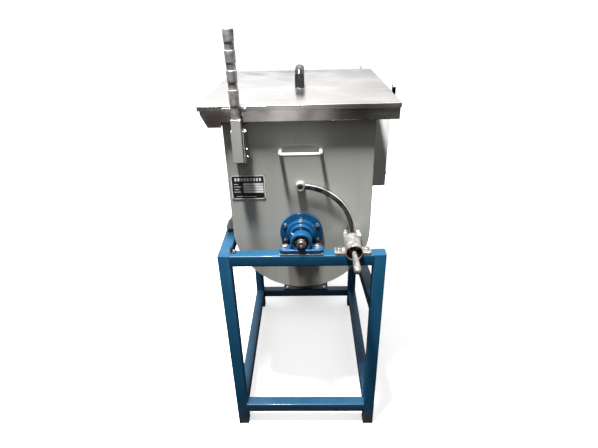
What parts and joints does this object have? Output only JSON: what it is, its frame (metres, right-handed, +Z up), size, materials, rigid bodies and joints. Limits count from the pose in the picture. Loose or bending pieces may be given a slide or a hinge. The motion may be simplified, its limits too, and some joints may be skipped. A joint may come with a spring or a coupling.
{
  "type": "tilting agitated tank",
  "caption": "Tilting U-shaped steel tank with a lift-off lid and a belt-driven agitator on its tilt axis, on a square-tube stand with a tilt lock and a control box.",
  "frame": {"origin": "bottom centre of the whole machine's bounding box, on the floor", "axes": "+Z up, +Y from the lever side to the drive side along the tilt axis, +X to the right as seen from the lever side"},
  "size_m": [0.6992, 1.257, 1.458],
  "materials": {
    "stand_paint": "semi-gloss blue enamel over square tube",
    "bearing_paint": "gloss blue enamel over cast iron",
    "tank_paint": "satin grey enamel",
    "stainless": "polished stainless sheet",
    "bare_steel": "bare machined steel",
    "dark_steel": "dark oiled steel",
    "nameplate": "etched aluminium plate, black and silver, no lettering",
    "black_plastic": "gloss black moulded plastic",
    "rubber": "matt black rubber",
    "box_paint": "off-white textured powder coat",
    "motor_paint": "blue-grey machine enamel",
    "green_plastic": "green moulded plastic",
    "red_plastic": "red moulded plastic"
  },
  "bodies": {
    "stand": {"leg_front_left": "stand_paint", "leg_front_right": "stand_paint", "leg_rear_left": "stand_paint", "leg_rear_right": "stand_paint", "foot_front_left": "rubber", "foot_front_right": "rubber", "foot_rear_left": "rubber", "foot_rear_right": "rubber", "rail_top_front": "stand_paint", "rail_top_rear": "stand_paint", "rail_top_left": "stand_paint", "rail_low_front": "stand_paint", "rail_low_rear": "stand_paint", "rail_low_left": "stand_paint", "rail_low_right": "stand_paint", "brace_right": "stand_paint", "rest_pad": "rubber", "bearing_block_front": "bearing_paint", "bearing_block_rear": "bearing_paint", "bearing_insert_front": "bare_steel", "bearing_insert_rear": "bare_steel", "packer_front": "bare_steel", "packer_rear": "bare_steel", "lock_housing": "bare_steel", "drive_base": "stand_paint", "gearbox": "motor_paint", "motor_body": "motor_paint", "motor_fan_cowl": "motor_paint", "drive_belt": "rubber", "belt_guard": "stand_paint", "box_bracket": "stand_paint", "control_box": "box_paint"},
    "tank": {"tank_shell": "tank_paint", "tank_front_wall": "tank_paint", "tank_rear_wall": "tank_paint", "wall_flange_front": "bearing_paint", "wall_flange_rear": "bearing_paint", "rim_frame": "stainless", "side_gutter": "stainless", "rest_lug": "tank_paint", "grab_handle": "tank_paint", "quadrant_bar": "dark_steel", "lock_bush": "tank_paint", "lever_bracket": "tank_paint", "tilt_lever": "tank_paint", "lever_grip": "bare_steel", "nameplate": "nameplate"},
    "lid": {"lid_panel": "stainless", "lid_handle": "black_plastic"},
    "agitator": {"agitator_shaft": "stainless", "paddle_1": "stainless", "paddle_2": "stainless", "paddle_3": "stainless", "driven_pulley": "dark_steel"},
    "drive_pulley": {"motor_pulley": "dark_steel"},
    "lock_bolt": {"lock_pin": "bare_steel"},
    "box_door": {"control_door": "box_paint"},
    "isolator": {"isolator_knob": "black_plastic"},
    "start": {"start_button": "green_plastic"},
    "stop": {"stop_button": "red_plastic"}
  },
  "joints": [
    {"name": "tank_tilt", "type": "hinge", "parent": "stand", "child": "tank", "pos_m": [-0.06265, -0.1035, 0.842], "axis": [0, 1, 0], "range_deg": [0, 95]},
    {"name": "lid_lift", "type": "slide", "parent": "tank", "child": "lid", "axis": [0, 0, 1], "range_m": [0, 0.25]},
    {"name": "agitator_spin", "type": "hinge", "parent": "stand", "child": "agitator", "pos_m": [-0.06265, -0.1035, 0.842], "axis": [0, 1, 0], "continuous": true},
    {"name": "drive_pulley_spin", "type": "hinge", "parent": "stand", "child": "drive_pulley", "pos_m": [-0.06265, 0.3175, 0.2], "axis": [0, 1, 0], "continuous": true},
    {"name": "lock_bolt_slide", "type": "slide", "parent": "stand", "child": "lock_bolt", "axis": [0, 1, 0], "range_m": [0, 0.02]},
    {"name": "box_door_swing", "type": "hinge", "parent": "stand", "child": "box_door", "pos_m": [0.32535, 0.5085, 0.982], "axis": [0, 0, 1], "range_deg": [0, 110]},
    {"name": "isolator_turn", "type": "hinge", "parent": "box_door", "child": "isolator", "pos_m": [0.32935, 0.2965, 1.15], "axis": [1, 0, 0], "range_deg": [0, 90]},
    {"name": "start_press", "type": "slide", "parent": "box_door", "child": "start", "axis": [-1, 0, 0], "range_m": [0, 0.004], "stiffness_N_per_m": 400},
    {"name": "stop_press", "type": "slide", "parent": "box_door", "child": "stop", "axis": [-1, 0, 0], "range_m": [0, 0.004], "stiffness_N_per_m": 400}
  ],
  "couplings": [
    {"joint": "drive_pulley_spin", "follows": "agitator_spin", "ratio": 2}
  ]
}
